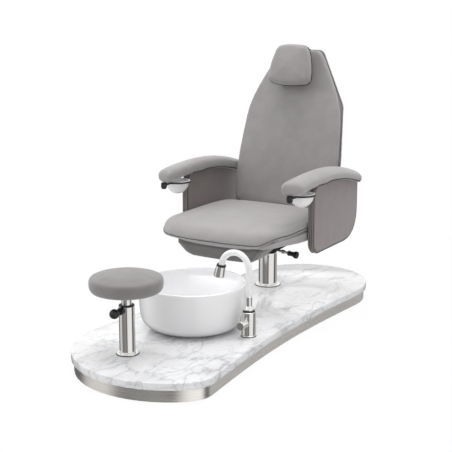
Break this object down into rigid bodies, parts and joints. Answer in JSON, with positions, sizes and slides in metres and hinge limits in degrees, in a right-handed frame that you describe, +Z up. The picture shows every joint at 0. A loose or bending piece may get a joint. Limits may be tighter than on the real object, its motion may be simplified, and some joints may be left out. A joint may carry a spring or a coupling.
{
  "type": "podiatry chair",
  "caption": "Swivelling, reclining pedicure chair with soaking bowls under its arms, on a lobed marble platform with a round foot basin, gooseneck tap and a round padded footrest.",
  "frame": {"origin": "floor under the chair column's axis, on the plinth's underside", "axes": "+Z up, the sitter faces -Y, +X to the sitter's left"},
  "size_m": [0.7369, 1.7064, 1.1062],
  "materials": {
    "marble": "polished white marble with grey veins",
    "brushed_steel": "brushed stainless steel",
    "chrome": "polished chrome",
    "steel": "plain turned steel",
    "leatherette": "smooth warm-grey leatherette over foam",
    "ceramic": "gloss white glaze",
    "white_plastic": "gloss white",
    "black_plastic": "satin black",
    "black_steel": "black powder coat",
    "board": "plywood, hidden"
  },
  "bodies": {
    "platform": {"plinth_core": "board", "plinth_band": "brushed_steel", "marble_top": "marble", "basin": "ceramic", "waste_fitting": "chrome", "footrest_flange": "chrome", "footrest_sleeve": "chrome", "footrest_collar": "black_plastic", "clamp_boss": "black_plastic", "tap_base": "chrome", "tap_body": "chrome", "tap_seal": "black_plastic", "tap_bonnet": "chrome", "column_base": "steel", "chair_column": "chrome", "set_screw": "black_steel", "column_flange": "chrome", "column_ring": "black_plastic"},
    "stopper": {"waste_stopper": "chrome"},
    "footrest": {"footrest_post": "chrome", "footrest_plate": "black_steel", "footrest_pad": "leatherette"},
    "clamp_screw": {"clamp_knob": "black_plastic"},
    "spout": {"tap_swivel": "chrome", "tap_spout": "white_plastic", "spray_collar": "black_plastic", "spray_head": "chrome", "spray_rose": "black_plastic"},
    "valve": {"tap_lever": "chrome"},
    "lift": {"lift_piston": "steel"},
    "seat": {"seat_spider": "black_steel", "seat_base": "leatherette", "front_apron": "leatherette", "seat_cushion": "leatherette", "side_panel_left": "leatherette", "side_panel_right": "leatherette", "arm_pad_left": "leatherette", "arm_pad_right": "leatherette", "tray_pivot_left": "black_plastic", "tray_pivot_right": "black_plastic", "seat_lug_left": "black_steel", "seat_lug_right": "black_steel", "hinge_pin_left": "steel", "hinge_pin_right": "steel"},
    "height_lever": {"lever_rod": "chrome", "lever_nut": "chrome", "lever_grip": "black_plastic"},
    "back": {"back_shell": "leatherette", "back_cushion": "leatherette", "back_lug_left": "black_steel", "back_lug_right": "black_steel", "headrest_guide": "black_plastic"},
    "headrest": {"headrest_pillow": "leatherette", "headrest_board": "board", "headrest_strap": "black_steel"},
    "tray_left": {"bowl_holder_left": "black_plastic", "manicure_bowl_left": "white_plastic"},
    "tray_right": {"bowl_holder_right": "black_plastic", "manicure_bowl_right": "white_plastic"}
  },
  "joints": [
    {"name": "footrest_height", "type": "slide", "parent": "platform", "child": "footrest", "axis": [0, 0, 1], "range_m": [-0.035, 0.1]},
    {"name": "clamp_turn", "type": "hinge", "parent": "platform", "child": "clamp_screw", "pos_m": [0, -1.057, 0.238], "axis": [0, 1, 0], "range_deg": [0, 180]},
    {"name": "stopper_lift", "type": "slide", "parent": "platform", "child": "stopper", "axis": [0, 0, 1], "range_m": [0, 0.02]},
    {"name": "spout_swing", "type": "hinge", "parent": "platform", "child": "spout", "pos_m": [0.278, -0.667, 0.172], "axis": [0, 0, 1], "range_deg": [-100, 100]},
    {"name": "valve_turn", "type": "hinge", "parent": "platform", "child": "valve", "pos_m": [0.278, -0.667, 0.126], "axis": [0.0081, 1, 0], "range_deg": [0, 90]},
    {"name": "seat_height", "type": "slide", "parent": "platform", "child": "lift", "axis": [0, 0, 1], "range_m": [0, 0.09]},
    {"name": "seat_swivel", "type": "hinge", "parent": "lift", "child": "seat", "pos_m": [0, 0, 0.2257], "axis": [0, 0, 1], "continuous": true},
    {"name": "height_release", "type": "hinge", "parent": "seat", "child": "height_lever", "pos_m": [0.026, 0, 0.2319], "axis": [0, -1, 0], "range_deg": [0, 5]},
    {"name": "back_recline", "type": "hinge", "parent": "seat", "child": "back", "pos_m": [0, 0.171, 0.391], "axis": [-1, 0, 0], "range_deg": [0, 45]},
    {"name": "headrest_height", "type": "slide", "parent": "back", "child": "headrest", "axis": [0, 0.2588, 0.9659], "range_m": [0, 0.045]},
    {"name": "tray_left_swing", "type": "hinge", "parent": "seat", "child": "tray_left", "pos_m": [0.293, -0.372, 0.55], "axis": [0, 0, -1], "range_deg": [0, 150]},
    {"name": "tray_right_swing", "type": "hinge", "parent": "seat", "child": "tray_right", "pos_m": [-0.293, -0.372, 0.55], "axis": [0, 0, 1], "range_deg": [0, 150]}
  ]
}
